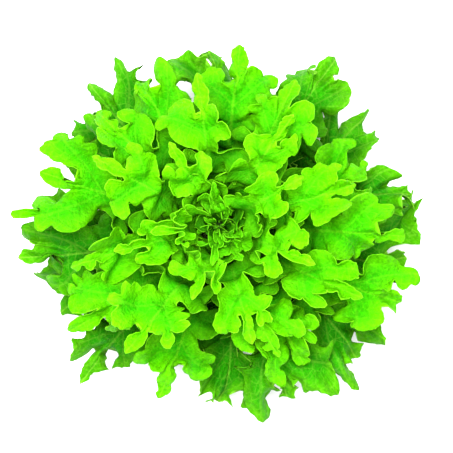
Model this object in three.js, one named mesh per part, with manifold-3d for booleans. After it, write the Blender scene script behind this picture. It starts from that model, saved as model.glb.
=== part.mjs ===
// A loose-leaf head of oak-leaf lettuce, as cut for market: a short stem with a flat cut face, and
// lobed leaves round it in a golden-angle spiral, from low drooping outer leaves to a frilled heart.
// Millimetres and degrees, +Z up. The origin is the middle of the stem's cut face.
//
// Every leaf is one waved sheet. It is laid out flat first, as rays that fan out from the midrib and
// end on the lobed margin, then carried onto a path that climbs from the stem and arches outwards.
import * as THREE from "three";
import { mergeVertices } from "three/addons/utils/BufferGeometryUtils.js";
import Module from "manifold-3d";

// ---------------------------------------------------------------- driving dimensions

const GOLDEN_ANGLE = 137.508; // from one leaf to the next, round the stem
const FIRST_AZIMUTH = 212; // of the outermost leaf
const LEAVES = 40; // separate leaves, counted from the outermost
const HEART_LEAVES = 8; // small ones in the middle, grown together at the foot
const SEED = 3;
const REDRAWS = 60; // times that a leaf may be drawn again, each time a little calmer
const HASH = { leaf: 127.1, item: 311.7, seed: 74.7, stretch: 43758.5453 }; // of the repeatable draw

const STEM = { cutRadius: 15, waistRadius: 17, waist: 6, topRadius: 8, top: 42 };
const HEART_CORE = { radius: 6.5, tipRadius: 1.5, height: 26 };
const HEART_FOOT_RADIUS = 5.2; // where the heart's leaves start, inside the core
const SUNK = 1.5; // how deep a leaf's foot starts inside the stem, before it is cut back
const CLEARANCE = 0.35; // least space between one piece and the next
const LOWEST = 1.5; // least height of a leaf above the table

// The midrib climbs from its foot on the stem, bends over a shoulder and ends at the tip. Each list
// runs at even steps from the outermost leaf to the innermost, with [radius, height] for places.
const ROSETTE = {
  foot: [8, 15, 22, 30, 38],
  shoulder: [[100, 48], [92, 84], [72, 118], [42, 138], [17, 136]],
  tip: [[134, 10], [132, 44], [120, 84], [88, 122], [52, 134]],
  lobes: [1.08, 1.05, 0.92, 0.8, 0.6], // size, as a share of the nominal lobes below
  bays: [1.9, 1.7, 1.3, 1.1, 1], // how little the bays cut in, as a share of the nominal
  wave: [14, 14, 14, 13, 10], // how far the margin rises and falls
  cup: [0, 0.1, 0.3, 0.45, 0.5], // how far the margins stand above the midrib, as a share of the wave
};
const HEART = {
  foot: [45, 54],
  shoulder: [[7, 108], [3, 88]],
  tip: [[30, 122], [8, 102]],
  lobes: [0.56, 0.3],
  bays: [1, 1],
  wave: [7, 3],
  cup: [0.4, 0.2],
};
// The outermost leaves one by one, in the spiral's order: which way the tip points and how far out it is.
const OUTER_TIPS = [
  [210, 127], [353, 137], [130, 132], [268, 121], [39, 132], [178, 126], [319, 144],
  [95, 125], [230, 147], [7, 140], [150, 127], [290, 129], [54, 141], [191, 132],
  [336, 141], [118, 118], [248, 121], [22, 116], [163, 122], [303, 114], [81, 120],
];

// How far a leaf may differ from the plan, either way: millimetres for places and sway, degrees for
// the azimuth, otherwise shares.
const VARIETY = {
  azimuth: { outer: 3, other: 14 },
  place: { outer: 5, other: 18, heart: 6.3 },
  bayReach: 0.38,
  bayLift: 0.8,
  lobeReach: 0.32,
  lobeLift: 1.4,
  lobeSwing: 0.34,
  tipLift: 0.6,
  roll: 0.55,
  sway: 34,
};
// The draw that settles each of these. Those of the margin count on from here, lobe by lobe.
const ITEM = {
  azimuth: 1, shoulderOut: 2, shoulderUp: 3, sway: 4, roll: 6, tipOut: 7, tipUp: 8, phase: 60, tipLift: 90,
  bayReach: 10, bayLift: 15, lobeReach: 20, lobeLift: 25, lobeSwing: 30,
  perSide: 30, perAttempt: 100,
};

const FAN_POWER = 3.2; // how suddenly the rays swing forward near the tip
const CLUB = 0.1; // how much a lobe widens towards its end
const ROUNDNESS = 0.8; // under 1, lobes are broad and bays narrow
const FOOT_HALF_WIDTH = 6.5;
const STALK = { from: 0.12, to: 0.25, halfWidth: 4.5 };
const FIRST_BAY = 3; // which knot of a margin it is, after the stalk's
// Lobes from the stalk to the tip, each with the bay below it: where their rays leave the midrib, as
// a share of it, and how long the rays are.
const BAYS = [
  { at: 0.34, reach: 12 },
  { at: 0.54, reach: 11 },
  { at: 0.73, reach: 12 },
  { at: 0.92, reach: 11 },
];
const LOBES = [
  { at: 0.45, reach: 30 },
  { at: 0.64, reach: 36 },
  { at: 0.83, reach: 40 },
];
const TIP_REACH = 26;
const BLADE_STARTS = { from: 0.25, to: 0.5 }; // share of the midrib over which the stalk becomes blade
const WAVES_START = { from: 0.4, to: 0.8 }; // share of the length over which the leaf begins to wave
const WAVE_POWER = 1.5; // over 1, the waves are mostly at the margin
const BUMPS = { height: 1.6, across: 8, along: 9, offset: 3 }; // low ones all over the blade
const LEAST_WRAP = 12; // radius of the tightest roll that a leaf takes round the stem

const BLADE = 0.8; // thickness
const RIB = { foot: 2, tip: 0.4 }; // how far the midrib stands out below the blade
const PATH_STEPS = 48;
const STEM_SIDES = 24;
const SMALLEST_DETAIL = 0.01;
const WELD = 1e-4; // corners closer than this are one

const PALE_STEM = 0xdfe8b0;
const OUTER_GREEN = 0x4fb80a;
const INNER_GREEN = 0x7cf00a;
const STEM_ROUGHNESS = 0.7;
const LEAF_ROUGHNESS = 0.5;

// ---------------------------------------------------------------- small helpers

const wasm = await Module();
wasm.setup();

const mix = (a, b, share) => a + (b - a) * share;
const clamp01 = (x) => Math.min(1, Math.max(0, x));
const eased = (x) => (1 - Math.cos(Math.PI * x)) / 2;
const shareOf = (x, { from, to }) => clamp01((x - from) / (to - from));

// A repeatable draw between low and high, for one item of one leaf.
function draw(leaf, item, low, high) {
  const x = Math.sin(leaf * HASH.leaf + item * HASH.item + SEED * HASH.seed) * HASH.stretch;
  return mix(low, high, x - Math.floor(x));
}

// The value at a layer of the stops, from 0 at the first to 1 at the last.
function graded(stops, layer) {
  const place = layer * (stops.length - 1);
  const i = Math.min(Math.floor(place), stops.length - 2);
  return mix(stops[i], stops[i + 1], place - i);
}
const gradedPoint = (stops, layer) => [0, 1].map((axis) => graded(stops.map((p) => p[axis]), layer));

// ---------------------------------------------------------------- one leaf's plan

function planOf(number, attempt = 0) {
  const inHeart = number >= LEAVES;
  const stops = inHeart ? HEART : ROSETTE;
  const layer = inHeart ? (number - LEAVES) / (HEART_LEAVES - 1) : number / (LEAVES - 1);
  const lively = 1 - attempt / REDRAWS;
  const about = (item, spread) =>
    lively * draw(number, item + ITEM.perAttempt * attempt, -spread, spread);

  const size = graded(stops.lobes, layer);
  const cup = graded(stops.cup, layer);
  const fill = graded(stops.bays, layer);
  const knotsOf = (side) => {
    const lobeAbout = (what, i) => about(ITEM[what] + side * ITEM.perSide + i, VARIETY[what]);
    const knots = [
      { at: 0, reach: FOOT_HALF_WIDTH * Math.sqrt(size), lift: 0, swing: 0 },
      { at: STALK.from, reach: STALK.halfWidth * Math.sqrt(size), lift: 0, swing: 0 },
      { at: STALK.to, reach: STALK.halfWidth * Math.sqrt(size), lift: 0, swing: 0 },
    ];
    BAYS.forEach((bay, i) => {
      knots.push({
        at: bay.at,
        reach: bay.reach * size * fill * (1 + lobeAbout("bayReach", i)),
        lift: cup + lobeAbout("bayLift", i),
        swing: 0,
      });
      const lobe = LOBES[i];
      if (!lobe) return;
      knots.push({
        at: lobe.at,
        reach: lobe.reach * size * (1 + lobeAbout("lobeReach", i)),
        lift: cup + lobeAbout("lobeLift", i),
        swing: lobeAbout("lobeSwing", i),
      });
    });
    knots.push({ at: 1, reach: TIP_REACH * size, lift: about(ITEM.tipLift, VARIETY.tipLift), swing: 0 });
    return knots;
  };

  const foot = graded(stops.foot, layer);
  const shoulder = gradedPoint(stops.shoulder, layer);
  const tip = gradedPoint(stops.tip, layer);
  const isOuter = number < OUTER_TIPS.length;
  let azimuth = FIRST_AZIMUTH + number * GOLDEN_ANGLE;
  const sway = about(ITEM.sway, VARIETY.sway);
  if (isOuter) {
    [azimuth, tip[0]] = OUTER_TIPS[number];
    azimuth -= THREE.MathUtils.radToDeg((sway * size) / tip[0]); // so that the swayed tip points there
  }
  const { azimuth: turn, place } = VARIETY;
  const spread = isOuter ? place.outer : inHeart ? place.heart : place.other;
  return {
    number,
    azimuth: azimuth + about(ITEM.azimuth, isOuter ? turn.outer : turn.other),
    size,
    wave: graded(stops.wave, layer),
    roll: about(ITEM.roll, VARIETY.roll),
    sway,
    phase: draw(number, ITEM.phase, 0, 2 * Math.PI),
    margins: [0, 1].map(knotsOf),
    path: pathOf(
      [stemRadius(foot) - SUNK, foot],
      [shoulder[0] + about(ITEM.shoulderOut, spread / 2), shoulder[1] + about(ITEM.shoulderUp, spread / 2)],
      [tip[0] + about(ITEM.tipOut, spread), tip[1] + about(ITEM.tipUp, spread)],
    ),
  };
}

function stemRadius(height) {
  if (height > STEM.top) return HEART_FOOT_RADIUS;
  return mix(STEM.waistRadius, STEM.topRadius, clamp01((height - STEM.waist) / (STEM.top - STEM.waist)));
}

// The midrib in the leaf's upright plane, at even steps of its own length.
function pathOf(foot, shoulder, tip) {
  const at3 = ([x, y]) => new THREE.Vector3(x, y, 0);
  const curve = new THREE.QuadraticBezierCurve3(at3(foot), at3(shoulder), at3(tip));
  const length = curve.getLength();
  const points = curve.getSpacedPoints(PATH_STEPS);
  return { length, points, step: length / PATH_STEPS };
}

function onPath({ points, step }, distance) {
  const place = Math.max(0, distance / step);
  const i = Math.min(Math.floor(place), points.length - 2);
  const [a, b] = [points[i], points[i + 1]];
  const before = points[Math.max(i - 1, 0)];
  const after = points[Math.min(i + 2, points.length - 1)];
  const share = place - i;
  const slopeIn = Math.atan2(b.y - before.y, b.x - before.x);
  const slopeOut = Math.atan2(after.y - a.y, after.x - a.x);
  return {
    radius: mix(a.x, b.x, share),
    height: mix(a.y, b.y, share),
    slope: mix(slopeIn, slopeOut, clamp01(share)),
  };
}

// ---------------------------------------------------------------- one leaf's surface

// The ray that leaves the midrib at t: its length, its lift, and its turn, which is 0 on the crest
// of a lobe and half a turn in the bays.
function rayOf(knots, t) {
  let i = knots.findIndex((knot) => knot.at > t) - 1;
  if (i < 0) i = knots.length - 2;
  const [a, b] = [knots[i], knots[i + 1]];
  const x = clamp01((t - a.at) / (b.at - a.at));
  const swing = mix(a.swing, b.swing, eased(x));
  if (i < FIRST_BAY) {
    return { reach: mix(a.reach, b.reach, eased(x)), lift: mix(a.lift, b.lift, x), turn: 0, swing };
  }
  const opening = i % 2 === 1; // from a bay up to a lobe
  const rounded = opening ? x ** ROUNDNESS : 1 - (1 - x) ** ROUNDNESS;
  return {
    reach: mix(a.reach, b.reach, eased(rounded)),
    lift: mix(a.lift, b.lift, eased(x)),
    turn: Math.PI * (opening ? x - 1 : x),
    swing,
  };
}

// A point of the leaf's middle surface: t along the midrib, v from the midrib to the margin.
function leafPoint(plan, side, t, v) {
  const { reach, lift, turn, swing } = rayOf(plan.margins[side], t);
  const angle = (Math.PI / 2) * (1 - t ** FAN_POWER) + swing * v;
  const club = CLUB * reach * Math.sin(turn) * v ** 2;
  const length = plan.path.length;
  const rayStart = (length - plan.margins[0].at(-1).reach) * t;
  const across = (side === 0 ? 1 : -1) * (reach * v * Math.sin(angle) - club * Math.cos(angle));
  const along = rayStart + reach * v * Math.cos(angle) + club * Math.sin(angle);

  const bump =
    Math.sin(across / BUMPS.across + plan.phase) *
    Math.sin(along / BUMPS.along + BUMPS.offset * plan.phase);
  const waving = shareOf(along / length, WAVES_START);
  const rise =
    (plan.wave * lift * v ** WAVE_POWER + plan.roll * across) * waving +
    BUMPS.height * plan.size * bump * shareOf(t, BLADE_STARTS);

  const here = onPath(plan.path, along);
  const aside = across + plan.sway * plan.size * (along / length) ** 2;
  const bearing = aside / Math.max(here.radius, LEAST_WRAP);
  const outward = here.radius - rise * Math.sin(here.slope);
  return new THREE.Vector3(
    outward * Math.cos(bearing),
    outward * Math.sin(bearing),
    here.height + rise * Math.cos(here.slope),
  );
}

// The rays at the knots of the margin, and in the blade of a separate leaf one more half-way between.
function leafRows(plan) {
  const knots = plan.margins[0].map((knot) => knot.at);
  return knots.map((t, i) => {
    const isBlade = i >= FIRST_BAY && i < knots.length - 1;
    return { t, between: isBlade && plan.number < LEAVES ? (t + knots[i + 1]) / 2 : null };
  });
}

// The closed solid of a leaf, upper and lower faces split into the same triangles.
function leafGeometry(plan) {
  const middle = [];
  const ribs = [];
  const add = (side, t, v) => {
    ribs.push(v === 0 ? mix(RIB.foot, RIB.tip, t) * Math.sqrt(plan.size) : 0);
    return middle.push(leafPoint(plan, side, t, v)) - 1;
  };
  const rows = leafRows(plan);
  const last = rows.at(-1);
  const mid = rows.map(({ t }) => add(0, t, 0));
  const tip = { half: add(0, last.t, 0.5), edge: add(0, last.t, 1) };
  const faces = [];
  const margins = [0, 1].map((side) => {
    const half = rows.map(({ t }) => (t === 1 ? tip.half : add(side, t, 0.5)));
    const edge = rows.map(({ t }) => (t === 1 ? tip.edge : add(side, t, 1)));
    const margin = [mid[0], half[0]];
    const triangle = (a, b, c) => faces.push(side === 0 ? [a, c, b] : [a, b, c]);
    rows.slice(0, -1).forEach(({ between }, i) => {
      triangle(mid[i], half[i], half[i + 1]);
      triangle(mid[i], half[i + 1], mid[i + 1]);
      margin.push(edge[i]);
      if (between === null) {
        triangle(half[i], edge[i], edge[i + 1]);
        triangle(half[i], edge[i + 1], half[i + 1]);
        return;
      }
      const extra = add(side, between, 1);
      margin.push(extra);
      triangle(half[i], edge[i], extra);
      triangle(half[i], extra, half[i + 1]);
      triangle(half[i + 1], extra, edge[i + 1]);
    });
    margin.push(tip.edge);
    return margin;
  });
  const loop = [...margins[1], ...margins[0].slice(1, -1).reverse()];

  const sheet = new THREE.BufferGeometry().setFromPoints(middle);
  sheet.setIndex(faces.flat());
  sheet.computeVertexNormals();
  const normal = (i) => new THREE.Vector3().fromBufferAttribute(sheet.attributes.normal, i);
  const upper = middle.map((p, i) => p.clone().addScaledVector(normal(i), BLADE / 2));
  const lower = middle.map((p, i) => p.clone().addScaledVector(normal(i), -BLADE / 2 - ribs[i]));
  const n = middle.length;
  const closed = [];
  for (const [a, b, c] of faces) closed.push(a, b, c, n + c, n + b, n + a);
  loop.forEach((a, i) => {
    const b = loop[(i + 1) % loop.length];
    closed.push(a, n + a, n + b, a, n + b, b);
  });
  const solid = new THREE.BufferGeometry().setFromPoints([...upper, ...lower]);
  solid.setIndex(closed);
  return solid;
}

// ---------------------------------------------------------------- solids

function manifoldOf(geometry) {
  const bare = geometry.clone();
  bare.deleteAttribute("normal");
  bare.deleteAttribute("uv");
  const merged = mergeVertices(bare, WELD);
  return new wasm.Manifold(new wasm.Mesh({
    numProp: 3,
    vertProperties: merged.getAttribute("position").array,
    triVerts: new Uint32Array(merged.getIndex().array),
  }));
}

// One solid piece: loose scraps are dropped, and a hollow closed in by joining is filled.
function onePiece(solid) {
  const pieces = solid.decompose().sort((a, b) => b.volume() - a.volume());
  return pieces[0].simplify(SMALLEST_DETAIL);
}

// A solid of revolution about the stem's axis, from [radius, height] stations.
function turned(stations) {
  const outline = stations.map(([radius, height]) => new THREE.Vector2(radius, height));
  const standing = new THREE.LatheGeometry(outline, STEM_SIDES).rotateX(Math.PI / 2);
  return manifoldOf(standing);
}

function stemSolid(grow = 0) {
  return turned([
    [0, -grow],
    [STEM.cutRadius + grow, -grow],
    [STEM.waistRadius + grow, STEM.waist],
    [STEM.topRadius + grow, STEM.top + grow],
    [0, STEM.top + grow],
  ]);
}

function coreSolid() {
  const foot = STEM.top + CLEARANCE;
  const top = foot + HEART_CORE.height;
  return turned([
    [0, foot],
    [HEART_CORE.radius, foot],
    [HEART_CORE.radius, foot + HEART_CORE.height / 2],
    [HEART_CORE.tipRadius, top],
    [0, top],
  ]);
}

const isClear = (solid, others) => others.every((other) => solid.minGap(other, CLEARANCE) >= CLEARANCE);

function leafSolid(number, attempt) {
  const plan = planOf(number, attempt);
  return manifoldOf(leafGeometry(plan)).rotate([0, 0, plan.azimuth]);
}

// A leaf in its place. One that would touch the table or a piece in its way is drawn again, calmer.
function settled(number, inItsWay) {
  for (let attempt = 0; attempt <= REDRAWS; attempt++) {
    const leaf = leafSolid(number, attempt);
    if (leaf.boundingBox().min[2] >= LOWEST && isClear(leaf, inItsWay)) return leaf;
  }
  throw new Error(`leaf ${number + 1} finds no room`);
}

// ---------------------------------------------------------------- the head

const head = new THREE.Group();
head.name = "oak_leaf_lettuce_head";

function addMesh(name, solid, colour, roughness) {
  const { numProp, vertProperties, triVerts } = solid.getMesh();
  const geometry = new THREE.BufferGeometry();
  const positions = [];
  for (let i = 0; i < vertProperties.length; i += numProp) {
    positions.push(vertProperties[i], vertProperties[i + 1], vertProperties[i + 2]);
  }
  geometry.setAttribute("position", new THREE.Float32BufferAttribute(positions, 3));
  geometry.setIndex([...triVerts]);
  geometry.computeVertexNormals();
  const material = new THREE.MeshStandardMaterial({ color: colour, roughness, flatShading: true });
  const mesh = new THREE.Mesh(geometry, material);
  mesh.name = name;
  head.add(mesh);
}

const stem = stemSolid();
const core = coreSolid();
const grownStem = stemSolid(CLEARANCE);
addMesh("cut_stem", stem, PALE_STEM, STEM_ROUGHNESS);

// No leaf takes the room of one that is still to come: each also clears the calmest form of the rest.
const calmest = [...Array(LEAVES + HEART_LEAVES).keys()].map((number) => leafSolid(number, REDRAWS));
const leaves = [];
for (let number = 0; number < LEAVES; number++) {
  const leaf = settled(number, [core, ...leaves, ...calmest.slice(number + 1)]);
  leaves.push(leaf);
  const colour = new THREE.Color(OUTER_GREEN).lerp(new THREE.Color(INNER_GREEN), number / (LEAVES - 1));
  const name = `leaf_${String(number + 1).padStart(2, "0")}`;
  addMesh(name, onePiece(leaf.subtract(grownStem)), colour, LEAF_ROUGHNESS);
}

const heart = [];
for (let number = LEAVES; number < LEAVES + HEART_LEAVES; number++) {
  heart.push(settled(number, [stem, ...leaves]));
}
addMesh("heart_leaves", onePiece(wasm.Manifold.union([core, ...heart])), INNER_GREEN, LEAF_ROUGHNESS);

export default head;
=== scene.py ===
"""The looks of a head of green oak-leaf lettuce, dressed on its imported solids.

The solids' leaves follow a formula and a repeatable draw. The same formula is followed here on a far
finer grid, and each leaf then gets what is too fine for the solids: small lobes on its lobes, scallops
or pointed teeth, a ruffled margin, a blade quilted between its side veins, a round midrib and a thin
edge. The stem is turned smooth. Lengths are in millimetres, turned into metres where a mesh is made.
"""

import math
from types import SimpleNamespace

import bpy
import numpy as np
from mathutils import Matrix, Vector


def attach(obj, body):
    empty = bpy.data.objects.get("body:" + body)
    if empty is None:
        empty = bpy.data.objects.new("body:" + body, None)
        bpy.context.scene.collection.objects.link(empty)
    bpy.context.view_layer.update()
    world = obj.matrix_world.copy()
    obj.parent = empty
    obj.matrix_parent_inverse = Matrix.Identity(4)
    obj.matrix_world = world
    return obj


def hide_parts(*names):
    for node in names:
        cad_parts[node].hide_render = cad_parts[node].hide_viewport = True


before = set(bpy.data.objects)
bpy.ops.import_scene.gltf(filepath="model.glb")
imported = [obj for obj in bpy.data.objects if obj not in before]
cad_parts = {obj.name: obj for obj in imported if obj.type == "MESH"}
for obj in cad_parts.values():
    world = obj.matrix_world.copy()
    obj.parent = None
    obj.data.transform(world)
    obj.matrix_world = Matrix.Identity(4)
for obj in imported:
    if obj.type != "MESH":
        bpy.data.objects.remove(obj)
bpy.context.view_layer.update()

METRES = 0.001
TINY = 1e-12

# ---------------------------------------------------------------- the leaves' formula, as in the solids

GOLDEN_ANGLE = 137.508
FIRST_AZIMUTH = 212
LEAVES = 40
HEART_LEAVES = 8
SEED = 3
REDRAWS = 60
HASH = {"leaf": 127.1, "item": 311.7, "seed": 74.7, "stretch": 43758.5453}

STEM = {"waist_radius": 17, "waist": 6, "top_radius": 8, "top": 42}
HEART_FOOT_RADIUS = 5.2
SUNK = 1.5

ROSETTE = {
    "foot": [8, 15, 22, 30, 38],
    "shoulder": [[100, 48], [92, 84], [72, 118], [42, 138], [17, 136]],
    "tip": [[134, 10], [132, 44], [120, 84], [88, 122], [52, 134]],
    "lobes": [1.08, 1.05, 0.92, 0.8, 0.6],
    "bays": [1.9, 1.7, 1.3, 1.1, 1],
    "wave": [14, 14, 14, 13, 10],
    "cup": [0, 0.1, 0.3, 0.45, 0.5],
}
HEART = {
    "foot": [45, 54],
    "shoulder": [[7, 108], [3, 88]],
    "tip": [[30, 122], [8, 102]],
    "lobes": [0.56, 0.3],
    "bays": [1, 1],
    "wave": [7, 3],
    "cup": [0.4, 0.2],
}
# The outermost leaves one by one: which way the tip points and how far out it is.
OUTER_TIPS = [
    (210, 127), (353, 137), (130, 132), (268, 121), (39, 132), (178, 126), (319, 144),
    (95, 125), (230, 147), (7, 140), (150, 127), (290, 129), (54, 141), (191, 132),
    (336, 141), (118, 118), (248, 121), (22, 116), (163, 122), (303, 114), (81, 120),
]

VARIETY = {
    "azimuth": {"outer": 3, "other": 14},
    "place": {"outer": 5, "other": 18, "heart": 6.3},
    "bay_reach": 0.38,
    "bay_lift": 0.8,
    "lobe_reach": 0.32,
    "lobe_lift": 1.4,
    "lobe_swing": 0.34,
    "tip_lift": 0.6,
    "roll": 0.55,
    "sway": 34,
}
# The draw that settles each of these. The last two lines are for what is finer than the solids.
ITEM = {
    "azimuth": 1, "shoulder_out": 2, "shoulder_up": 3, "sway": 4, "roll": 6, "tip_out": 7, "tip_up": 8,
    "phase": 60, "tip_lift": 90,
    "bay_reach": 10, "bay_lift": 15, "lobe_reach": 20, "lobe_lift": 25, "lobe_swing": 30,
    "per_side": 30, "per_attempt": 100,
    "tone": 61,
    "ruffle_turns": 70, "ruffle_start": 75, "ruffles_per_side": 10,
}

FAN_POWER = 3.2
CLUB = 0.1
ROUNDNESS = 0.8
FOOT_HALF_WIDTH = 6.5
STALK = {"from": 0.12, "to": 0.25, "half_width": 4.5}
FIRST_BAY = 3
BAYS = [(0.34, 12), (0.54, 11), (0.73, 12), (0.92, 11)]
LOBES = [(0.45, 30), (0.64, 36), (0.83, 40)]
TIP_REACH = 26
BLADE_STARTS = {"from": 0.25, "to": 0.5}
WAVES_START = {"from": 0.4, "to": 0.8}
WAVE_POWER = 1.5
BUMPS = {"height": 1.6, "across": 8, "along": 9, "offset": 3}
LEAST_WRAP = 12
SOLID_BLADE = 0.8

# ---------------------------------------------------------------- what is finer than the solids

BLADE = 0.45
RIB = {"foot": 2.2, "tip": 0.5, "foot_half_width": 4.2, "tip_half_width": 0.9}
ROWS = 180
COLUMNS = 13
HEART_ROWS = 120
HEART_COLUMNS = 9
COLUMN_EASE = 0.6  # how far the columns crowd towards the midrib and the margin
ROW_SAMPLES = 6  # for each row, when the rows are spaced
ROW_PACE = 0.5  # how much the midrib's own length counts in the rows' spacing
PATH_STEPS = 240
MARGIN_SAMPLES = 420

# The stretch of the midrib, as shares of it, over which frills, ruffles, quilting and billows set in.
FINE_STARTS = {"from": 0.25, "to": 0.45}
# The frills of a margin, coarse and fine: the length of one, how deep it cuts, the share of that which
# leaves the margin where it is, how far its crest leans forward and stands up, how far it fades into
# the blade, its shape, and the breadth of blade over which it grows to its full depth.
LOBELETS = {
    "length": 21, "depth": 13, "middle": 0.75, "bulge": 1, "height": 5, "fade": 15,
    "power": 1.15, "peaked": 0.15, "breadth": {"from": 2, "to": 19},
}
SCALLOPS = {
    "length": 5.5, "depth": 1.8, "middle": 0.6, "bulge": 0.2, "height": 1.2, "fade": 5,
    "power": 0.55, "peaked": 0.35, "breadth": {"from": 0, "to": 5},
}
POINTED = {"leaves": 12, "length": 0.8, "reach": 1.22, "power": 0.9}  # the lowest leaves' frills
FRILL_SIZE_POWER = 0.6  # under 1, so a small leaf's frills are large for it
FRILL_FADE_POWER = 1.4
NECK = {"from": 2, "to": 15}  # where half the leaf is narrower than this, its frills are shallow
WANDER = [(1.5, 19, 1), (0.9, 10, 2)]  # what shifts the frills' beat: amount, length and offset
UNEVEN = {"middle": 0.65, "swing": 0.35, "length": 13, "offset": 5}  # the frills' share of their depth
BREADTH = {"most": 80, "smoothed": 9, "least_inward": 1e-3}
RUFFLES = {
    "height": 7.5, "shares": [0.6, 0.5], "turns": [[1.1, 1.6], [1.9, 2.6]],
    "power": 1.3, "tip_power": 12,
}
QUILT = {"height": 0.5, "between_veins": 0.7, "to_margin": 0.8}  # powers under 1: flat-topped
BILLOW = {"height": 1.7, "length": 17, "courses": 3, "turn": 2.1, "longer": 0.3}
TONE = {"outermost": 0.1, "rise": 2.5}  # how bright a leaf may be drawn, up to 1, by its layer
PATTERN_STEP = 40.0  # from one leaf's pattern to the next one's

# Turned shapes as (radius, height), whose ends close to a speck on the axis.
CORE_STATIONS = [(0.1, 42.4), (6.5, 42.4), (6.5, 55.4), (4.2, 63), (1.5, 68.3), (0.1, 68.4)]
STEM_STATIONS = [
    (0.1, 0), (14, 0), (14.7, 0.15), (15.1, 0.6), (16.2, 3), (17, 6), (15.6, 12), (13, 22), (10.4, 32),
    (8.4, 40), (7.8, 41.6), (7, 42), (0.1, 42),
]
LATHE_SIDES = 96


def mix(a, b, share):
    return a + (b - a) * share


def clamp01(x):
    return np.clip(x, 0, 1)


def eased(x):
    return (1 - np.cos(np.pi * x)) / 2


def share_of(x, span):
    """How far x is from the span's "from", 0, to its "to", 1."""
    return clamp01((x - span["from"]) / (span["to"] - span["from"]))


def unit(vectors):
    """The vectors at length 1."""
    return vectors / (np.linalg.norm(vectors, axis=-1, keepdims=True) + TINY)


def draw(leaf, item, low, high):
    """A repeatable draw between low and high, for one item of one leaf."""
    x = math.sin(leaf * HASH["leaf"] + item * HASH["item"] + SEED * HASH["seed"]) * HASH["stretch"]
    return mix(low, high, x - math.floor(x))


def graded(stops, layer):
    """The value at a layer of the stops, from 0 at the first to 1 at the last."""
    stops = np.asarray(stops, float)
    place = layer * (len(stops) - 1)
    i = min(int(place), len(stops) - 2)
    return mix(stops[i], stops[i + 1], place - i)


# ---------------------------------------------------------------- one leaf's plan


def plan_of(number, attempt):
    """One drawing of a leaf, counted from the outermost: its margins, its wave and its midrib's path."""
    in_heart = number >= LEAVES
    is_outer = number < len(OUTER_TIPS)
    stops = HEART if in_heart else ROSETTE
    layer = (number - LEAVES) / (HEART_LEAVES - 1) if in_heart else number / (LEAVES - 1)
    lively = 1 - attempt / REDRAWS

    def about(item, spread):
        return lively * draw(number, item + ITEM["per_attempt"] * attempt, -spread, spread)

    size = graded(stops["lobes"], layer)
    tip = graded(stops["tip"], layer)
    azimuth = FIRST_AZIMUTH + number * GOLDEN_ANGLE
    sway = about(ITEM["sway"], VARIETY["sway"])
    if is_outer:
        azimuth, tip[0] = OUTER_TIPS[number]
        azimuth -= math.degrees(sway * size / tip[0])  # so that the swayed tip points there
    turn = VARIETY["azimuth"]["outer" if is_outer else "other"]
    spread = VARIETY["place"]["outer" if is_outer else "heart" if in_heart else "other"]
    foot = graded(stops["foot"], layer)
    shoulder = graded(stops["shoulder"], layer)
    fill = graded(stops["bays"], layer)
    cup = graded(stops["cup"], layer)
    return SimpleNamespace(
        number=number,
        layer=layer,
        azimuth=math.radians(azimuth + about(ITEM["azimuth"], turn)),
        size=size,
        wave=graded(stops["wave"], layer),
        roll=about(ITEM["roll"], VARIETY["roll"]),
        sway=sway,
        phase=draw(number, ITEM["phase"], 0, 2 * math.pi),
        margins=[knots_of(side, size, fill, cup, about) for side in (0, 1)],
        path=path_of(
            np.array([stem_radius(foot) - SUNK, foot]),
            shoulder + [about(ITEM["shoulder_out"], spread / 2), about(ITEM["shoulder_up"], spread / 2)],
            tip + [about(ITEM["tip_out"], spread), about(ITEM["tip_up"], spread)],
        ),
    )


def knots_of(side, size, fill, cup, about):
    """The knots of one margin, as columns: at, reach, lift and swing."""

    def variety(what, i):
        return about(ITEM[what] + side * ITEM["per_side"] + i, VARIETY[what])

    narrow = math.sqrt(size)
    knots = [
        (0, FOOT_HALF_WIDTH * narrow, 0, 0),
        (STALK["from"], STALK["half_width"] * narrow, 0, 0),
        (STALK["to"], STALK["half_width"] * narrow, 0, 0),
    ]
    for i, (at, reach) in enumerate(BAYS):
        reach *= size * fill * (1 + variety("bay_reach", i))
        knots.append((at, reach, cup + variety("bay_lift", i), 0))
        if i < len(LOBES):
            at, reach = LOBES[i]
            reach *= size * (1 + variety("lobe_reach", i))
            knots.append((at, reach, cup + variety("lobe_lift", i), variety("lobe_swing", i)))
    knots.append((1, TIP_REACH * size, about(ITEM["tip_lift"], VARIETY["tip_lift"]), 0))
    return np.array(knots, float).T


def stem_radius(height):
    if height > STEM["top"]:
        return HEART_FOOT_RADIUS
    share = share_of(height, {"from": STEM["waist"], "to": STEM["top"]})
    return mix(STEM["waist_radius"], STEM["top_radius"], share)


def path_of(foot, shoulder, tip):
    """The midrib in the leaf's upright plane: radius, height and slope at even steps of its length."""

    def curve(share):
        share = share[:, None]
        return (1 - share) ** 2 * foot + 2 * share * (1 - share) * shoulder + share**2 * tip

    shares = np.linspace(0, 1, PATH_STEPS + 1)
    lengths = np.concatenate([[0], np.cumsum(np.linalg.norm(np.diff(curve(shares), axis=0), axis=1))])
    steps = np.linspace(0, lengths[-1], PATH_STEPS + 1)
    radius, height = curve(np.interp(steps, lengths, shares)).T
    slope = np.arctan2(np.gradient(height), np.gradient(radius))
    return SimpleNamespace(length=lengths[-1], steps=steps, radius=radius, height=height, slope=slope)


def on_path(path, distance):
    """Radius, height and slope at a distance along the midrib, which runs on straight past its tip."""
    beyond = np.maximum(distance - path.length, 0)
    slope = np.interp(distance, path.steps, path.slope)
    radius = np.interp(distance, path.steps, path.radius) + beyond * np.cos(slope)
    height = np.interp(distance, path.steps, path.height) + beyond * np.sin(slope)
    return radius, height, slope


# ---------------------------------------------------------------- one leaf's surface


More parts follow.
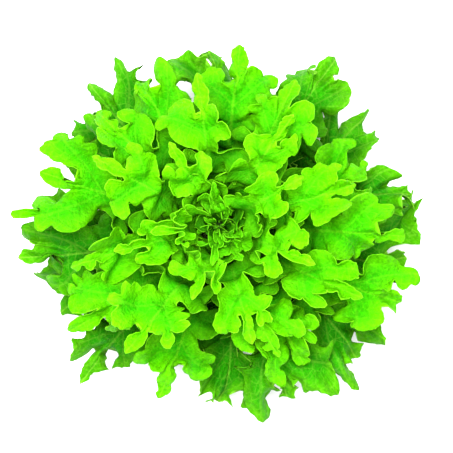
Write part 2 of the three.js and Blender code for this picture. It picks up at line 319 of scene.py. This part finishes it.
def laid_flat(plan, side, t, v):
    """Where the ray that leaves the midrib at t is, v of the way to the margin, and its lift there."""
    at, reach, lift, swing = plan.margins[side]
    i = np.clip(np.searchsorted(at, t, side="right") - 1, 0, len(at) - 2)
    x = clamp01((t - at[i]) / (at[i + 1] - at[i]))
    in_blade = i >= FIRST_BAY
    opening = i % 2 == 1  # from a bay up to a lobe
    rounded = np.where(opening, x**ROUNDNESS, 1 - (1 - x) ** ROUNDNESS)
    ray = mix(reach[i], reach[i + 1], eased(np.where(in_blade, rounded, x)))
    ray_lift = mix(lift[i], lift[i + 1], np.where(in_blade, eased(x), x))
    turn = np.where(in_blade, np.pi * np.where(opening, x - 1, x), 0)
    angle = np.pi / 2 * (1 - t**FAN_POWER) + mix(swing[i], swing[i + 1], eased(x)) * v
    club = CLUB * ray * np.sin(turn) * v**2
    across = (1 if side == 0 else -1) * (ray * v * np.sin(angle) - club * np.cos(angle))
    start = (plan.path.length - plan.margins[0][1][-1]) * t
    return across, start + ray * v * np.cos(angle) + club * np.sin(angle), ray_lift


def carried(plan, across, along, t, v, lift, extra=0):
    """The flat layout's points carried onto the midrib's path, in the head's own frame."""
    waving = share_of(along / plan.path.length, WAVES_START)
    bump = np.sin(across / BUMPS["across"] + plan.phase)
    bump *= np.sin(along / BUMPS["along"] + BUMPS["offset"] * plan.phase)
    rise = (plan.wave * lift * v**WAVE_POWER + plan.roll * across) * waving + extra
    rise += BUMPS["height"] * plan.size * bump * share_of(t, BLADE_STARTS)
    radius, height, slope = on_path(plan.path, along)
    swayed = across + plan.sway * plan.size * (along / plan.path.length) ** 2
    azimuth = plan.azimuth + swayed / np.maximum(radius, LEAST_WRAP)
    outward = radius - rise * np.sin(slope)
    return np.stack(
        [outward * np.cos(azimuth), outward * np.sin(azimuth), height + rise * np.cos(slope)], axis=-1
    )


def drawn_plan(number, vertices):
    """The drawing of a leaf that the solids hold: its margin is nearest to the node's vertices."""

    def miss(plan):
        gaps = []
        for side in (0, 1):
            t = plan.margins[side][0]
            across, along, lift = laid_flat(plan, side, t, 1)
            margin = carried(plan, across, along, t, 1, lift)
            gaps.append(np.linalg.norm(margin[:, None] - vertices[None], axis=2).min(axis=1))
        return np.mean(gaps)

    plans = [plan_of(number, attempt) for attempt in range(REDRAWS)]
    nearest = min(plans, key=miss)
    if miss(nearest) > 2 * SOLID_BLADE:
        raise ValueError(f"leaf {number + 1} isn't drawn as the solids' is")
    return nearest


def margin_of(plan):
    """The margin from one foot round the tip to the other: points laid flat, outward normals, and the
    distance from the tip."""
    t = np.linspace(0, 1, MARGIN_SAMPLES)
    there = np.stack(laid_flat(plan, 1, t, 1)[:2], axis=-1)
    back = np.stack(laid_flat(plan, 0, t[::-1], 1)[:2], axis=-1)
    points = np.concatenate([there, back[1:]])
    tangents = unit(np.gradient(points, axis=0))
    distance = np.concatenate([[0], np.cumsum(np.linalg.norm(np.diff(points, axis=0), axis=1))])
    normals = np.stack([-tangents[:, 1], tangents[:, 0]], axis=-1)
    return points, normals, distance - distance[len(t) - 1]


def breadth_of(points, normals):
    """The blade's breadth at each point of its margin: the widest circle inside that touches it there."""
    apart = points[None] - points[:, None]
    inward = -np.einsum("ijk,ik->ij", apart, normals)
    least = BREADTH["least_inward"]
    diameters = np.where(inward > least, (apart**2).sum(axis=-1) / np.maximum(inward, least), np.inf)
    breadth = np.minimum(diameters.min(axis=1), BREADTH["most"])
    window = np.ones(BREADTH["smoothed"]) / BREADTH["smoothed"]
    return np.convolve(np.pad(breadth, BREADTH["smoothed"] // 2, mode="edge"), window, mode="valid")


def even_rows(plan, rows):
    """Rows spaced so that the margins' points are evenly apart, on the average of both sides."""
    t = np.linspace(0, 1, ROW_SAMPLES * rows)
    pace = np.full(len(t) - 1, plan.path.length / len(t) * ROW_PACE)
    for side in (0, 1):
        across, along, _ = laid_flat(plan, side, t, 1)
        pace += np.hypot(np.diff(across), np.diff(along)) / 2
    return np.interp(np.linspace(0, 1, rows + 1), np.concatenate([[0], np.cumsum(pace)]) / pace.sum(), t)


def ray_coordinate(t):
    """A number that is whole on the crest of each lobe and halfway between in each bay."""
    bays = [at for at, _ in BAYS]
    lobes = [at for at, _ in LOBES] + [1.0]
    knots = [0.0] + [at for pair in zip(bays, lobes) for at in pair]
    return np.interp(t, knots, [i / 2 for i in range(len(knots))])


def frilled(plan, flat, t, width):
    """The flat leaf with the frills of its margin: its points, how far the frills lift each of them, and
    how far each was from the margin."""
    margin, normals, distances = margin_of(plan)
    offsets = np.stack([np.hypot(*(row[:, None] - margin[None]).transpose(2, 0, 1)) for row in flat])
    nearest = offsets.argmin(axis=-1)
    edge = offsets.min(axis=-1)
    from_tip = distances[nearest]
    breadth = breadth_of(margin, normals)[nearest]

    reaches = [
        np.hypot(*np.subtract(laid_flat(plan, side, t, 1)[:2], laid_flat(plan, side, t, 0)[:2]))
        for side in (1, 0)
    ]
    past_neck = share_of(np.where(width < 0, *reaches), NECK)
    size = plan.size**FRILL_SIZE_POWER
    wander = sum(
        amount * np.sin(from_tip / length + offset * plan.phase) for amount, length, offset in WANDER
    )
    swell = np.sin(from_tip / UNEVEN["length"] + UNEVEN["offset"] * plan.phase)
    uneven = UNEVEN["middle"] + UNEVEN["swing"] * swell
    is_pointed = plan.number < POINTED["leaves"]
    outward = 0
    forward = 0
    rise = 0
    for frill in (LOBELETS, SCALLOPS):
        length = frill["length"] * size * (POINTED["length"] if is_pointed else 1)
        phase = np.pi * from_tip / length + wander
        if is_pointed:
            arch = POINTED["reach"] - np.abs(np.sin(phase)) ** POINTED["power"]
        else:
            peak = 1 - np.abs(2 * (phase / np.pi % 1) - 1)
            arch = mix(np.abs(np.sin(phase)) ** frill["power"], peak, frill["peaked"])
        fade = np.minimum(frill["fade"], breadth / 2)
        near_edge = uneven * size * share_of(t, FINE_STARTS)
        near_edge *= np.minimum(past_neck, share_of(breadth / size, frill["breadth"]))
        near_edge *= clamp01(1 - edge / fade) ** FRILL_FADE_POWER
        outward += frill["depth"] * near_edge * (arch - frill["middle"])
        forward -= frill["bulge"] * near_edge * np.sin(2 * phase)
        rise += frill["height"] * near_edge * np.sin(phase)
    normal = normals[nearest]
    tangent = np.stack([normal[..., 1], -normal[..., 0]], axis=-1)
    return flat + outward[..., None] * normal + forward[..., None] * tangent, rise, edge


def ruffled(plan, ray, t, v, width):
    """How far the long waves of the margin lift each point."""
    rise = 0
    for side, half in ((0, width > 0), (1, width < 0)):
        for i, share in enumerate(RUFFLES["shares"]):
            item = side * ITEM["ruffles_per_side"] + i
            turns = draw(plan.number, ITEM["ruffle_turns"] + item, *RUFFLES["turns"][i]) * ray
            start = draw(plan.number, ITEM["ruffle_start"] + item, 0, 1)
            wave = np.sin(2 * np.pi * (turns + start)) * v ** RUFFLES["power"]
            rise += half * share * RUFFLES["height"] * plan.size * wave * (1 - t ** RUFFLES["tip_power"])
    return rise


def quilted(plan, flat, ray, v):
    """How far the blade rises between its side veins, and in the billows that cross it."""
    between_veins = np.abs(np.sin(2 * np.pi * ray)) ** QUILT["between_veins"]
    rise = QUILT["height"] * plan.size * between_veins * np.sin(np.pi * v) ** QUILT["to_margin"]
    for i in range(BILLOW["courses"]):
        heading = plan.phase + i * BILLOW["turn"]
        course = flat[..., 0] * math.cos(heading) + flat[..., 1] * math.sin(heading)
        length = BILLOW["length"] * (1 + BILLOW["longer"] * i)
        rise += BILLOW["height"] * plan.size * np.sin(2 * np.pi * course / length)
    return rise


def leaf_grid(plan, rows, columns):
    """The leaf's middle surface as a grid of points, and what its material reads at each point."""
    widths = np.linspace(-1, 1, 2 * columns + 1)
    t, width = np.meshgrid(even_rows(plan, rows), widths, indexing="ij")
    v = mix(np.abs(width), eased(np.abs(width)), COLUMN_EASE)
    left, right = (laid_flat(plan, side, t, v) for side in (1, 0))
    across, along, lift = (np.where(width < 0, a, b) for a, b in zip(left, right))
    flat = np.stack([across, along], axis=-1)
    ray = ray_coordinate(t)
    moved, rise, edge = frilled(plan, flat, t, width)
    rise += ruffled(plan, ray, t, v, width) + quilted(plan, flat, ray, v)
    rise *= share_of(t, FINE_STARTS)
    points = carried(plan, moved[..., 0], moved[..., 1], t, v, lift, rise)
    return points, {"flat": flat, "ray": ray, "v": v, "edge": edge, "t": t}


def grid_faces(rows, columns):
    """The faces of a leaf's grid, whose two halves meet along the last row, and its rim."""
    width = 2 * columns + 1
    index = np.arange((rows + 1) * width).reshape(rows + 1, width)
    index[rows, :columns] = index[rows, : columns : -1]
    corners = [index[:-1, :-1], index[:-1, 1:], index[1:, 1:], index[1:, :-1]]
    rim = np.concatenate([index[0, :], index[1:, -1], index[rows - 1 :: -1, 0][:-1]])
    return np.stack(corners, axis=-1).reshape(-1, 4), rim


def smooth_normals(points, quads):
    """The normal at each point, as the mean of those of the faces round it."""
    corners = points[quads]
    normals = np.cross(corners[:, 2] - corners[:, 0], corners[:, 3] - corners[:, 1])
    total = np.zeros_like(points)
    for corner in range(4):
        np.add.at(total, quads[:, corner], normals)
    return unit(total)


def leaf_mesh(plan, rows, columns):
    """Vertices, faces and attributes of one closed leaf, in metres."""
    grid, facts = leaf_grid(plan, rows, columns)
    points = grid.reshape(-1, 3)
    quads, rim = grid_faces(rows, columns)
    normals = -smooth_normals(points, quads)

    t = facts["t"].ravel()
    flat = facts["flat"].reshape(-1, 2)
    narrow = math.sqrt(plan.size)
    half_width = mix(RIB["foot_half_width"], RIB["tip_half_width"], t) * narrow
    rounded = np.sqrt(clamp01(1 - (flat[:, 0] / half_width) ** 2))
    rib = mix(RIB["foot"], RIB["tip"], t) * narrow * rounded
    upper = points + normals * (BLADE / 2)
    lower = points - normals * (BLADE / 2 + rib[:, None])

    n = len(points)
    rim_next = np.roll(rim, -1)
    faces = np.concatenate([
        quads[:, ::-1],
        quads + n,
        np.stack([rim, rim_next, rim_next + n, rim + n], axis=-1),
    ])
    attributes = {
        "flat": np.column_stack([flat, np.full(n, plan.number * PATTERN_STEP)]),
        "ray": np.column_stack([facts["ray"].ravel(), facts["v"].ravel(), t]),
        "edge": facts["edge"].ravel(),
    }
    attributes = {name: np.concatenate([values, values]) for name, values in attributes.items()}
    attributes["under"] = np.repeat([0.0, 1.0], n)
    tone = draw(plan.number, ITEM["tone"], 0, 1) * clamp01(TONE["outermost"] + TONE["rise"] * plan.layer)
    attributes["tone"] = np.full(2 * n, tone)
    return np.concatenate([upper, lower]) * METRES, faces, attributes


def add_mesh(name, vertices, faces, attributes, material):
    """A smooth mesh object. Vertices that no face uses are left out."""
    used = np.unique(faces)
    renumbered = np.zeros(len(vertices), int)
    renumbered[used] = np.arange(len(used))
    mesh = bpy.data.meshes.new(name)
    mesh.from_pydata(vertices[used].tolist(), [], renumbered[faces].tolist())
    for key, values in attributes.items():
        values = values[used].astype(np.float32)
        if values.ndim == 1:
            mesh.attributes.new(key, "FLOAT", "POINT").data.foreach_set("value", values)
        else:
            mesh.attributes.new(key, "FLOAT_VECTOR", "POINT").data.foreach_set("vector", values.ravel())
    mesh.shade_smooth()
    mesh.materials.append(material)
    made = bpy.data.objects.new(name, mesh)
    bpy.context.scene.collection.objects.link(made)
    return made


# ---------------------------------------------------------------- materials

# The leaves' pattern lies on the flat leaf, and its scales are per millimetre.
# MARGIN_PALE_AND_PAINTED_LIGHT and MARGIN_LINE_AND_PAINTED_HIGHLIGHT run in millimetres from the margin,
# and VEINS, PAINTED_SHADE and
# PALE_FOOT in shares of the midrib. The half width of a side vein is a share of the way from lobe to
# lobe, and the rib's is in millimetres.
MOTTLE = {"scale": 0.055, "detail": 3, "roughness": 0.5, "from": 0.35, "to": 1, "by_leaf": 0.35}
# Paler towards the margin: partly the leaf's own paler edge, partly painted light that the raised lobes
# catch.
MARGIN_PALE_AND_PAINTED_LIGHT = {"from": 12, "to": 0, "strength": 0.75}
# A thin pale line on the margin: partly the leaf's own pale edge, partly a painted highlight where the
# rim catches light.
MARGIN_LINE_AND_PAINTED_HIGHLIGHT = {"from": 0.5, "to": 0.15, "strength": 0.3}
VEINS = {"from": 0.22, "to": 0.4, "height": 0.35, "strength": 0.42}
SIDE_VEIN = {"half_width": 0.06, "narrowing": 0.045, "from": 1, "to": 0.3}
LARGE_NET = {"scale": 0.16, "from": 0.07, "to": 0}
SMALL_NET = {"scale": 0.5, "from": 0.09, "to": 0, "strength": 0.5}
PALE_RIB = {"half_width": 3.6, "narrowing": 2.6, "from": 1, "to": 0.25, "strength": 0.2}
# Painted shade: each blade's colour is darkened towards its foot, where the leaves above would shade it.
PAINTED_SHADE = {"from": 0.9, "to": 0.5, "less_under": 0.7, "colour": 0x064200}
SPECKLE = {
    "scale": 0.4, "detail": 4, "roughness": 0.75, "from": 0.62, "to": 0.38, "strength": 0.36,
    "colour": 0x185802,
}
PALE_FOOT = {"from": 0.3, "to": 0.05}
UNDERSIDE = 0.5
GRAIN = {"scale": 1.1, "detail": 3, "roughness": 0.6, "height": 0.6}
WRINKLES = {"scale": 0.26, "detail": 4, "roughness": 0.78, "height": 6}
LEAF_BUMP = {"strength": 0.8, "distance": 0.0006}
LEAF_GLOSS = {"least_roughness": 0.42, "by_grain": 0.2, "specular": 0.03}

# The stem's pattern is measured in metres, from its axis and its cut.
FLESH = {"pale": 0xE6E7B4, "green": 0xC9D58A}
STREAKS = {"scale": 260, "detail": 4, "roughness": 0.6}
RING = {
    "inside": {"from": 0.0095, "to": 0.0112}, "outside": {"from": 0.0132, "to": 0.0116},
    "strength": 0.6, "colour": 0xA8B95C,
}
BROWNED = {
    "height": {"from": 0.0012, "to": 0}, "streaks": {"from": 0.42, "to": 0.68},
    "strength": 0.6, "colour": 0xB48A55,
}
STEM_BUMP = {"strength": 0.4, "distance": 0.0005}
STEM_GLOSS = {"least_roughness": 0.4, "by_streaks": 0.3}


def linear(colour):
    """A colour written as 0xRRGGBB, as the linear RGBA that a socket takes."""
    channels = [(colour >> shift & 255) / 255 for shift in (16, 8, 0)]
    return [c / 12.92 if c <= 0.04045 else ((c + 0.055) / 1.055) ** 2.4 for c in channels] + [1]


class Nodes:
    """Short ways to add the nodes of one material."""

    def __init__(self, name):
        self.material = bpy.data.materials.new(name)
        self.material.use_nodes = True
        self.tree = self.material.node_tree
        self.shader = self.tree.nodes["Principled BSDF"]

    def add(self, kind, **settings):
        node = self.tree.nodes.new(kind)
        for key, value in settings.items():
            setattr(node, key, value)
        return node

    def wire(self, value, socket):
        if isinstance(value, bpy.types.NodeSocket):
            self.tree.links.new(value, socket)
        else:
            socket.default_value = value

    def attribute(self, name, output="Fac"):
        return self.add("ShaderNodeAttribute", attribute_name=name).outputs[output]

    def parts(self, vector):
        node = self.add("ShaderNodeSeparateXYZ")
        self.wire(vector, node.inputs[0])
        return node.outputs

    def math(self, operation, *values):
        node = self.add("ShaderNodeMath", operation=operation)
        for value, socket in zip(values, node.inputs):
            self.wire(value, socket)
        return node.outputs[0]

    def plus(self, a, b):
        return self.math("ADD", a, b)

    def minus(self, a, b):
        return self.math("SUBTRACT", a, b)

    def times(self, a, b):
        return self.math("MULTIPLY", a, b)

    def share_of(self, value, span):
        """0 where the value is at the span's "from" and 1 where it is at its "to", smoothly."""
        node = self.add("ShaderNodeMapRange", interpolation_type="SMOOTHSTEP")
        for key, number in (("Value", value), ("From Min", span["from"]), ("From Max", span["to"])):
            self.wire(number, node.inputs[key])
        return node.outputs[0]

    def blend(self, share, a, b):
        node = self.add("ShaderNodeMix", data_type="RGBA")
        for value, socket in ((share, node.inputs[0]), (a, node.inputs[6]), (b, node.inputs[7])):
            self.wire(value, socket)
        return node.outputs[2]

    def tinted(self, colour, share, strength, tint):
        """The colour, taken towards the tint by the share of the strength."""
        return self.blend(self.times(share, strength), colour, linear(tint))

    def noise(self, vector, look):
        node = self.add("ShaderNodeTexNoise")
        self.wire(vector, node.inputs["Vector"])
        for key in ("scale", "detail", "roughness"):
            node.inputs[key.capitalize()].default_value = look[key]
        return node.outputs["Fac"]

    def net(self, vector, look):
        """The lines of a net: 1 on a line and 0 away from it."""
        node = self.add("ShaderNodeTexVoronoi", feature="DISTANCE_TO_EDGE")
        self.wire(vector, node.inputs["Vector"])
        node.inputs["Scale"].default_value = look["scale"]
        return self.share_of(node.outputs["Distance"], look)

    def bumps(self, height, look):
        """Small relief on the material's surface."""
        node = self.add("ShaderNodeBump")
        node.inputs["Strength"].default_value = look["strength"]
        node.inputs["Distance"].default_value = look["distance"]
        self.wire(height, node.inputs["Height"])
        self.wire(node.outputs[0], self.shader.inputs["Normal"])


def leaf_material(name, shaded, deep, bright, margin, vein, under, foot):
    """Leaf green: mottled and speckled, with pale veins, rib and foot, a paler margin that is partly
    painted light, a thin margin line that is partly a painted highlight, and painted shade that darkens
    the blade towards its foot, under the leaves above."""
    nodes = Nodes(name)
    flat = nodes.attribute("flat", "Vector")
    across = nodes.parts(flat)[0]
    ray, v, t = nodes.parts(nodes.attribute("ray", "Vector"))
    edge = nodes.attribute("edge")
    is_under = nodes.attribute("under")

    tone = nodes.plus(nodes.times(nodes.attribute("tone"), MOTTLE["by_leaf"]), nodes.noise(flat, MOTTLE))
    colour = nodes.blend(nodes.share_of(tone, MOTTLE), linear(deep), linear(bright))
    # Paler near the margin, partly the leaf's own edge colour and partly painted light.
    colour = nodes.tinted(colour, nodes.share_of(edge, MARGIN_PALE_AND_PAINTED_LIGHT), MARGIN_PALE_AND_PAINTED_LIGHT["strength"], margin)

    in_blade = nodes.share_of(t, VEINS)
    half_width = nodes.minus(SIDE_VEIN["half_width"], nodes.times(v, SIDE_VEIN["narrowing"]))
    to_vein = nodes.math("PINGPONG", ray, 0.5)  # the side veins run where the ray coordinate is whole
    side_vein = nodes.share_of(nodes.math("DIVIDE", to_vein, half_width), SIDE_VEIN)
    small_net = nodes.times(nodes.net(flat, SMALL_NET), SMALL_NET["strength"])
    net = nodes.math("MAXIMUM", nodes.net(flat, LARGE_NET), small_net)
    veins = nodes.times(nodes.math("MAXIMUM", side_vein, net), VEINS["height"])
    veins = nodes.times(veins, in_blade)
    colour = nodes.tinted(colour, veins, VEINS["strength"], vein)

    half_width = nodes.minus(PALE_RIB["half_width"], nodes.times(t, PALE_RIB["narrowing"]))
    rib = nodes.share_of(nodes.math("DIVIDE", nodes.math("ABSOLUTE", across), half_width), PALE_RIB)
    colour = nodes.tinted(colour, rib, PALE_RIB["strength"], vein)

    # Painted shade towards the leaf's foot, as strong as the share shaded, and weaker on the underside.
    shade = nodes.times(nodes.share_of(t, PAINTED_SHADE), shaded)
    shade = nodes.times(shade, nodes.minus(1, nodes.times(is_under, PAINTED_SHADE["less_under"])))
    colour = nodes.blend(shade, colour, linear(PAINTED_SHADE["colour"]))
    speckle = nodes.share_of(nodes.noise(flat, SPECKLE), SPECKLE)
    colour = nodes.tinted(colour, speckle, SPECKLE["strength"], SPECKLE["colour"])
    colour = nodes.blend(nodes.share_of(t, PALE_FOOT), colour, linear(foot))
    colour = nodes.tinted(colour, is_under, UNDERSIDE, under)
    # The thin margin line, partly pale edge and partly painted highlight.
    line = nodes.times(nodes.share_of(edge, MARGIN_LINE_AND_PAINTED_HIGHLIGHT), in_blade)
    colour = nodes.tinted(colour, line, MARGIN_LINE_AND_PAINTED_HIGHLIGHT["strength"], vein)
    nodes.wire(colour, nodes.shader.inputs["Base Color"])

    grain = nodes.noise(flat, GRAIN)
    wrinkles = nodes.times(nodes.noise(flat, WRINKLES), WRINKLES["height"])
    height = nodes.minus(nodes.times(grain, GRAIN["height"]), veins)
    nodes.bumps(nodes.plus(height, wrinkles), LEAF_BUMP)
    roughness = nodes.plus(LEAF_GLOSS["least_roughness"], nodes.times(grain, LEAF_GLOSS["by_grain"]))
    nodes.wire(roughness, nodes.shader.inputs["Roughness"])
    nodes.shader.inputs["Specular IOR Level"].default_value = LEAF_GLOSS["specular"]
    return nodes.material


def stem_material():
    """A cut lettuce stem: milky flesh with a green ring, browned a little where the knife went."""
    nodes = Nodes("cut stem")
    place = nodes.add("ShaderNodeTexCoord").outputs["Object"]
    x, y, z = nodes.parts(place)
    radius = nodes.math("SQRT", nodes.plus(nodes.times(x, x), nodes.times(y, y)))
    streaks = nodes.noise(place, STREAKS)
    flesh = nodes.blend(streaks, linear(FLESH["pale"]), linear(FLESH["green"]))
    ring = nodes.times(nodes.share_of(radius, RING["inside"]), nodes.share_of(radius, RING["outside"]))
    flesh = nodes.tinted(flesh, ring, RING["strength"], RING["colour"])
    low = nodes.share_of(z, BROWNED["height"])
    browned = nodes.times(low, nodes.share_of(streaks, BROWNED["streaks"]))
    flesh = nodes.tinted(flesh, browned, BROWNED["strength"], BROWNED["colour"])
    nodes.wire(flesh, nodes.shader.inputs["Base Color"])
    nodes.bumps(streaks, STEM_BUMP)
    roughness = nodes.plus(STEM_GLOSS["least_roughness"], nodes.times(streaks, STEM_GLOSS["by_streaks"]))
    nodes.wire(roughness, nodes.shader.inputs["Roughness"])
    return nodes.material


# The number after each name is the strength of the painted shade towards the foot; margin is the colour
# the blade is tinted to near its margin, partly painted light.
OUTER = leaf_material(
    "outer leaf", 0.95,
    deep=0x126C00, bright=0x289400, margin=0x50A400, vein=0x98D040, under=0x30740C, foot=0x94B460,
)
MIDDLE = leaf_material(
    "middle leaf", 0.78,
    deep=0x209200, bright=0x36B000, margin=0x60C000, vein=0x8CD820, under=0x449010, foot=0x9CBA68,
)
INNER = leaf_material(
    "inner leaf", 0.66,
    deep=0x229C00, bright=0x42C000, margin=0x6CD000, vein=0x90E024, under=0x489412, foot=0xA0BC6C,
)
# The heart's greens and foot are darker than the other leaves': painted shade for the deep middle of the
# head, with brighter margins against it.
HEART_IN_PAINTED_SHADE = leaf_material(
    "heart leaf", 0.98,
    deep=0x065400, bright=0x1C8800, margin=0x54BC00, vein=0x84DC20, under=0x2C6C10, foot=0x3C6428,
)

# ---------------------------------------------------------------- the head

# The leaves up to each number, with their slot and their material.
LAYERS = [(14, "leaf_outer", OUTER), (28, "leaf_middle", MIDDLE), (LEAVES, "leaf_inner", INNER)]


def node_vertices(node):
    """A solid's vertices, in millimetres."""
    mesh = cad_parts[node].data
    coordinates = np.zeros(3 * len(mesh.vertices))
    mesh.vertices.foreach_get("co", coordinates)
    return coordinates.reshape(-1, 3) / METRES


def dress_leaf(number):
    node = f"leaf_{number + 1:02d}"
    plan = drawn_plan(number, node_vertices(node))
    slot, material = next((slot, material) for end, slot, material in LAYERS if number < end)
    leaf = add_mesh(f"frilled_{node}", *leaf_mesh(plan, ROWS, COLUMNS), material)
    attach(leaf, "root")
    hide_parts(node)


def lathed(stations):
    """A surface of revolution about the stem's axis, from (radius, height) stations, in metres."""
    turns = np.linspace(0, 2 * np.pi, LATHE_SIDES, endpoint=False)
    ring = np.stack([np.cos(turns), np.sin(turns)], axis=-1)
    vertices = np.concatenate([
        np.column_stack([radius * ring, np.full(LATHE_SIDES, height)]) for radius, height in stations
    ])
    first = np.arange(LATHE_SIDES)
    after = np.roll(first, -1)
    band = np.stack([first, after, after + LATHE_SIDES, first + LATHE_SIDES], axis=-1)
    faces = np.concatenate([band + LATHE_SIDES * level for level in range(len(stations) - 1)])
    return vertices * METRES, faces


def dress_heart():
    solid = node_vertices("heart_leaves")
    plans = [drawn_plan(number, solid) for number in range(LEAVES, LEAVES + HEART_LEAVES)]
    meshes = [leaf_mesh(plan, HEART_ROWS, HEART_COLUMNS) for plan in plans]
    core, core_faces = lathed(CORE_STATIONS)
    blank = {key: np.zeros((len(core), *values.shape[1:])) for key, values in meshes[0][2].items()}
    meshes.append((core, core_faces, blank))
    starts = np.cumsum([0] + [len(vertices) for vertices, _, _ in meshes])
    vertices = np.concatenate([vertices for vertices, _, _ in meshes])
    faces = np.concatenate([faces + start for (_, faces, _), start in zip(meshes, starts)])
    attributes = {key: np.concatenate([facts[key] for _, _, facts in meshes]) for key in blank}
    heart = add_mesh("frilled_heart", vertices, faces, attributes, HEART_IN_PAINTED_SHADE)
    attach(heart, "root")
    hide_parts("heart_leaves")


def dress_stem():
    stem = add_mesh("smooth_stem", *lathed(STEM_STATIONS), {}, stem_material())
    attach(stem, "root")
    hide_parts("cut_stem")


for number in range(LEAVES):
    dress_leaf(number)
dress_heart()
dress_stem()

# ---------------------------------------------------------------- floor, light and camera, in metres

MIDDLE_OF_HEAD = Vector((0.0053, -0.0004, 0.06))
FLOOR = {"size": 12, "colour": 0xFAFAFA, "roughness": 0.9}
ROOM_LIGHT = 1.15
SOFTBOX = {"size": 0.9, "watts": 86, "place": (-0.12, 0.25, 1.7)}
CAMERA_HEIGHT = 1.4
SENSOR_WIDTH = 36  # in millimetres, as the lens
PICTURE_WIDTH = 0.317  # what the picture spans at the middle of the head


def add_floor():
    half = FLOOR["size"] / 2
    corners = [(-half, -half, 0), (half, -half, 0), (half, half, 0), (-half, half, 0)]
    mesh = bpy.data.meshes.new("floor")
    mesh.from_pydata(corners, [], [(0, 1, 2, 3)])
    floor = bpy.data.objects.new("floor", mesh)
    nodes = Nodes("floor")
    nodes.shader.inputs["Base Color"].default_value = linear(FLOOR["colour"])
    nodes.shader.inputs["Roughness"].default_value = FLOOR["roughness"]
    mesh.materials.append(nodes.material)
    bpy.context.scene.collection.objects.link(floor)


def add_light():
    world = bpy.data.worlds.new("studio")
    world.use_nodes = True
    world.node_tree.nodes["Background"].inputs["Color"].default_value = (1, 1, 1, 1)
    world.node_tree.nodes["Background"].inputs["Strength"].default_value = ROOM_LIGHT
    bpy.context.scene.world = world
    data = bpy.data.lights.new("softbox", "AREA")
    data.size = SOFTBOX["size"]
    data.energy = SOFTBOX["watts"]
    light = bpy.data.objects.new("softbox", data)
    light.location = SOFTBOX["place"]
    light.rotation_euler = (MIDDLE_OF_HEAD - light.location).to_track_quat("-Z", "Y").to_euler()
    bpy.context.scene.collection.objects.link(light)


def add_camera():
    data = bpy.data.cameras.new("camera")
    data.sensor_width = SENSOR_WIDTH
    data.lens = SENSOR_WIDTH * (CAMERA_HEIGHT - MIDDLE_OF_HEAD.z) / PICTURE_WIDTH
    camera = bpy.data.objects.new("camera", data)
    camera.location = (MIDDLE_OF_HEAD.x, MIDDLE_OF_HEAD.y, CAMERA_HEIGHT)
    bpy.context.scene.collection.objects.link(camera)
    bpy.context.scene.camera = camera


add_floor()
add_light()
add_camera()
bpy.context.scene.view_settings.view_transform = "Standard"
